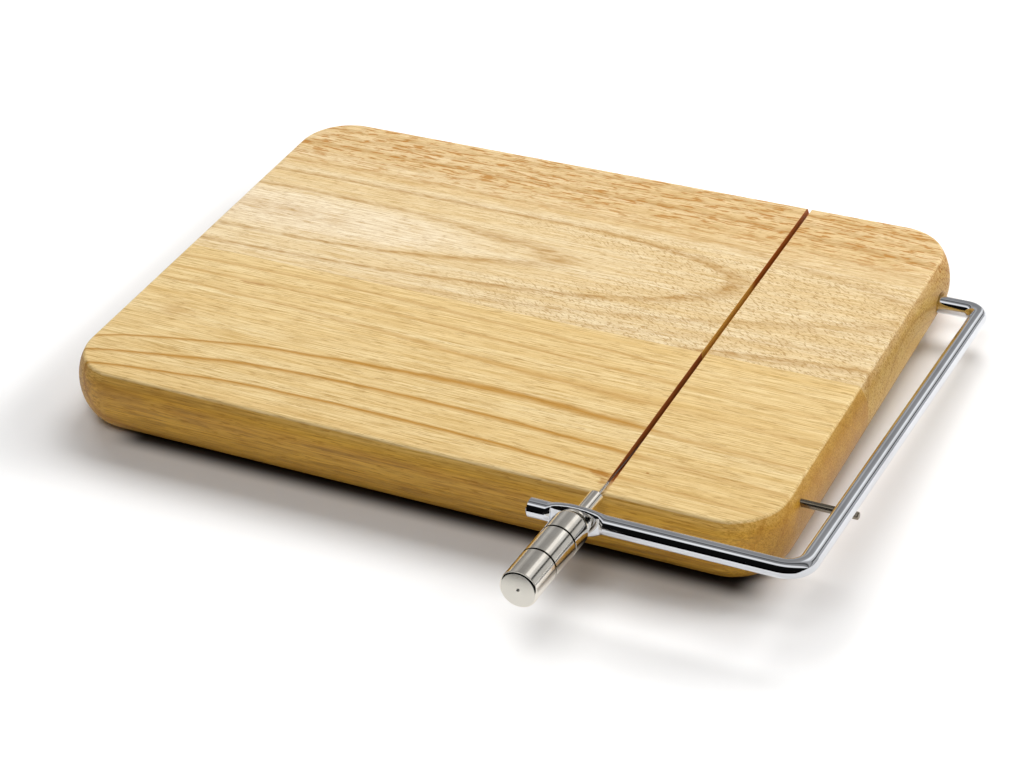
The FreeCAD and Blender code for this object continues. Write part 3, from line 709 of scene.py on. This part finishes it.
WIRE_RADIUS = 0.25
LOOP_PIN_LOW, LOOP_PIN_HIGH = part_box("loop_pin")
PIN_RADIUS = 0.5 * (LOOP_PIN_HIGH.z - LOOP_PIN_LOW.z) * MM_PER_M
PIN_REACH = ((LOOP_PIN_LOW + LOOP_PIN_HIGH) * 0.5 - HINGE).dot(WIRE_DIRECTION) * MM_PER_M
PIN_GAP = 0.02
TWIST_START, TWIST_END = 149.0, 160.2
TWIST_PITCH = 1.9
STEPS_PER_TURN = 20
LOOP_START, LOOP_SWEEP = 150, 300       # in degrees, round the loop pin
LOOP_STEPS = 24


def on_wire(reach, rise=0.0, side=0.0):
    """A point in metres, from millimetres along the wire, up from it and across it."""
    return HINGE + MM * (WIRE_DIRECTION * reach + RISE_DIRECTION * rise + Vector((side, 0, 0)))


def strand(first_offset, phase):
    """Points of one strand of the twist; it starts at first_offset from the wire's line."""
    count = int((TWIST_END - TWIST_START) / TWIST_PITCH * STEPS_PER_TURN)
    points = []
    for step in range(count + 1):
        reach = TWIST_START + (TWIST_END - TWIST_START) * step / count
        share = min(1.0, abs(reach - TWIST_START) / TWIST_PITCH)
        offset = first_offset + (WIRE_RADIUS - first_offset) * share
        angle = phase + 2 * math.pi * (reach - TWIST_START) / TWIST_PITCH
        points.append(on_wire(reach, offset * math.cos(angle), offset * math.sin(angle)))
    return points


def pin_loop():
    """Points of the wire's loop round the stud's pin."""
    loop_radius = PIN_RADIUS + PIN_GAP + WIRE_RADIUS
    points = []
    for step in range(LOOP_STEPS + 1):
        angle = math.radians(LOOP_START - LOOP_SWEEP * step / LOOP_STEPS)
        reach = PIN_REACH - loop_radius * math.cos(angle)
        points.append(on_wire(reach, loop_radius * math.sin(angle)))
    return points


def cutting_wire(material):
    """The taut wire, looped round the stud's pin and twisted back on itself."""
    _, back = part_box("cutting_wire")
    barrel_reach = (back.y - HINGE.y) * -MM_PER_M
    points = [on_wire(barrel_reach), on_wire(TWIST_START - TWIST_PITCH)]
    points += strand(0.0, 0.0)
    points += pin_loop()
    points += reversed(strand(WIRE_RADIUS, math.pi))
    data = bpy.data.curves.new("cutting_wire_strands", "CURVE")
    data.dimensions = "3D"
    data.bevel_depth = WIRE_RADIUS * MM
    data.bevel_resolution = 5
    data.use_fill_caps = True
    line = data.splines.new("POLY")
    line.points.add(len(points) - 1)
    for point, position in zip(line.points, points):
        point.co = (*position, 1)
    data.materials.append(material)
    wire = bpy.data.objects.new("cutting_wire_strands", data)
    bpy.context.scene.collection.objects.link(wire)
    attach(wire, "stud")
    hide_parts("cutting_wire")


# Studio --------------------------------------------------------------------------------------------------

CAMERA_PLACE = (0.34512, -0.65718, 0.49517)
CAMERA_TURN = 28.02
CAMERA_DOWN = 34.23
CAMERA_ROLL = -3.99
CAMERA_LENS = 91.70
CAMERA_SENSOR = 36.0

FLOOR_REACH = 4.0
FLOOR_WHITE = (0.93, 0.925, 0.92)
FLOOR_ROUGHNESS = 0.9
# The floor's glow is painted light that whitens the floor beyond the board's shadow, by distance from the
# board in millimetres.
NEAR_GLOW, NEAR_GLOW_SPAN = 0.25, (18.0, 48.0)
FAR_GLOW, FAR_GLOW_SPAN = 0.60, (200.0, 1500.0)

# The painted contact shadow, a dark strip: two slopes by distance ahead of the board's front edge, and two
# along x.
CONTACT_BACK, CONTACT_FADE = (-40.0, -20.0), (-4.8, 3.5)
CONTACT_LEFT, CONTACT_RIGHT = (-111.0, -97.0), (112.0, 125.0)
CONTACT_SHARE = 0.97
CONTACT_SHADOW = (0.020, 0.011, 0.006)

# The flag is a painted dark reflection: a black sheet that only reflections show.
FLAG_EDGE = -0.20
FLAG_HEIGHT = 0.001

WHITE = (1.0, 1.0, 1.0, 1)
BLACK = (0, 0, 0, 1)
SKY_SHARE = 0.05
WALL_TURN = (0.35, 0.55)        # how far back a direction points, from overhead to the back wall

# name: place, width, height, power. Each soft box faces the board.
SOFT_BOXES = {
    "top_back": ((0.02, 0.75, 1.05), 0.9, 0.5, 10.2),
    "left_back": ((-0.9, 0.8, 0.9), 0.7, 0.6, 5.4),
    "right_back": ((0.9, 0.8, 0.9), 0.8, 0.6, 9.0),
    "right": ((1.2, 0.0, 0.8), 0.5, 0.5, 2.0),
    "front_top": ((0.2, -0.7, 1.2), 0.6, 0.6, 5.3),
}

# What the metal sees: a grey for each angle in degrees, over the top from the front's horizon to the back's,
# and on the back wall from its right to its left.
OVER_THE_TOP = [(0, 0.004), (55, 0.004), (60, 0.95), (76, 0.95), (82, 0.28), (95, 0.24), (100, 0.08),
                (106, 0.08), (112, 0.44), (130, 0.38), (137, 0.14), (143, 0.14), (150, 0.58), (166, 0.62),
                (180, 0.28)]
BACK_WALL = [(0, 0.50), (24, 0.50), (29, 0.02), (35, 0.02), (40, 0.62), (52, 0.66), (56, 1.0), (74, 1.0),
             (80, 0.40), (100, 0.30), (128, 0.28), (145, 0.50), (180, 0.16)]


def camera():
    """The camera at the photograph's angle."""
    data = bpy.data.cameras.new("camera")
    data.lens = CAMERA_LENS
    data.sensor_width = CAMERA_SENSOR
    made = bpy.data.objects.new("camera", data)
    bpy.context.scene.collection.objects.link(made)
    turn = Matrix.Rotation(math.radians(CAMERA_TURN), 4, "Z")
    tip = Matrix.Rotation(math.radians(90 - CAMERA_DOWN), 4, "X")
    roll = Matrix.Rotation(math.radians(CAMERA_ROLL), 4, "Z")
    made.matrix_world = Matrix.Translation(CAMERA_PLACE) @ turn @ tip @ roll
    bpy.context.scene.camera = made


def soft_box(name, place, width, height, power):
    """An area light that faces the board and isn't seen in reflections."""
    data = bpy.data.lights.new(name, "AREA")
    data.shape = "RECTANGLE"
    data.size = width
    data.size_y = height
    data.energy = power
    made = bpy.data.objects.new(name, data)
    bpy.context.scene.collection.objects.link(made)
    made.location = place
    made.rotation_euler = (-Vector(place)).to_track_quat("-Z", "Y").to_euler()
    made.visible_glossy = False


def from_board(graph, x, y):
    """How far outside the board's outline a point of the floor lies, in millimetres."""
    sides = ((x, BOARD_HALF), (y, BOARD_BACK))
    outside = (graph.larger(graph.subtract(graph.math("ABSOLUTE", part), half), 0.0) for part, half in sides)
    return graph.length(*outside)


def painted_contact_shadow(graph, x, y):
    """The painted contact shadow under the board's front edge, as a grey from 0 to 1."""
    ahead = graph.subtract(-BOARD_BACK, y)
    along = graph.between(x, CONTACT_LEFT, CONTACT_RIGHT)
    return graph.times(graph.between(ahead, CONTACT_BACK, CONTACT_FADE), along)


def floor_finish():
    """White paper with a painted contact shadow, a dark strip under the board's front edge.

    It glows away from the board, as painted light that whitens the floor beyond the board's shadow, but not
    in reflections.
    """
    graph = material_graph("floor_finish")
    x, y, _ = graph.place()
    distance = from_board(graph, x, y)
    glow = graph.add(graph.steps(distance, *NEAR_GLOW_SPAN, 0.0, NEAR_GLOW),
                     graph.steps(distance, *FAR_GLOW_SPAN, 0.0, FAR_GLOW))
    unglossy = graph.subtract(1.0, graph.node("ShaderNodeLightPath").outputs["Is Glossy Ray"])
    strip = painted_contact_shadow(graph, x, y)
    return graph.finish(
        Base_Color=graph.mix(graph.times(strip, CONTACT_SHARE), FLOOR_WHITE, CONTACT_SHADOW),
        Roughness=FLOOR_ROUGHNESS,
        Emission_Color=WHITE,
        Emission_Strength=graph.times(glow, unglossy),
    )


def black_finish():
    """Dull black for the flag, a dark floor that only reflections show: a painted dark reflection in the
    metal.
    """
    graph = material_graph("front_flag_finish")
    return graph.finish(Base_Color=BLACK, Roughness=FLOOR_ROUGHNESS, Specular_IOR_Level=0.0)


def plain_sheet(name, front, back, height, finish):
    """A level sheet as wide as the floor, from y = front to y = back."""
    corners = [(-FLOOR_REACH, front, height), (FLOOR_REACH, front, height),
               (FLOOR_REACH, back, height), (-FLOOR_REACH, back, height)]
    mesh = bpy.data.meshes.new(name)
    mesh.from_pydata(corners, [], [(0, 1, 2, 3)])
    mesh.materials.append(finish)
    made = bpy.data.objects.new(name, mesh)
    bpy.context.scene.collection.objects.link(made)
    return made


def angle_ramp(graph, angle, stops):
    """The grey at an angle in radians, from (degrees, grey)."""
    return graph.ramp(graph.spans(angle, 0.0, math.pi), [(degrees / 180, grey) for degrees, grey in stops])


def sky():
    """A white backdrop for the camera, painted greys for reflections, and a faint glow for all the rest."""
    world = bpy.data.worlds.new("studio")
    bpy.context.scene.world = world
    graph = Graph(world)
    x, y, z = graph.parts(graph.node("ShaderNodeTexCoord").outputs["Generated"])
    over_the_top = graph.math("ARCTAN2", z, graph.times(y, -1.0))
    round_the_back = graph.math("ARCTAN2", z, x)
    overhead = angle_ramp(graph, over_the_top, OVER_THE_TOP)
    wall = angle_ramp(graph, round_the_back, BACK_WALL)
    painted = graph.mix(graph.steps(y, *WALL_TURN), overhead, wall)
    reflected = graph.result("ShaderNodeBackground", (painted, 1.0))
    glow = graph.result("ShaderNodeBackground", (WHITE, SKY_SHARE))
    backdrop = graph.result("ShaderNodeBackground", (WHITE, 1.0))
    ray = graph.node("ShaderNodeLightPath").outputs
    lit = graph.result("ShaderNodeMixShader", (ray["Is Glossy Ray"], glow, reflected))
    seen = graph.result("ShaderNodeMixShader", (ray["Is Camera Ray"], lit, backdrop))
    graph.node("ShaderNodeOutputWorld", {0: seen})


def studio():
    """The floor, the black flag ahead of the board, a painted dark reflection that only reflections show, the
    lights and the sky.
    """
    plain_sheet("floor", -FLOOR_REACH, FLOOR_REACH, 0.0, floor_finish())
    flag = plain_sheet("front_flag", -FLOOR_REACH, FLAG_EDGE, FLAG_HEIGHT, black_finish())
    for kind in ("camera", "diffuse", "shadow", "transmission", "volume_scatter"):
        setattr(flag, "visible_" + kind, False)
    for name, (place, width, height, power) in SOFT_BOXES.items():
        soft_box(name, place, width, height, power)
    sky()
    bpy.context.scene.view_settings.view_transform = "Standard"


paint("front_plank", front_wood())
paint("rear_plank", rear_wood())
paint("bail", chrome())
nickel_finish = nickel()
for turned_part in ("handle", "thrust_washer", "tension_stud"):
    paint(turned_part, nickel_finish)
pin_finish = pin_steel()
for pin in ("rest_pin", "loop_pin"):
    paint(pin, pin_finish)
paint("wire_anchor", brass())
cutting_wire(wire_steel())
camera()
studio()
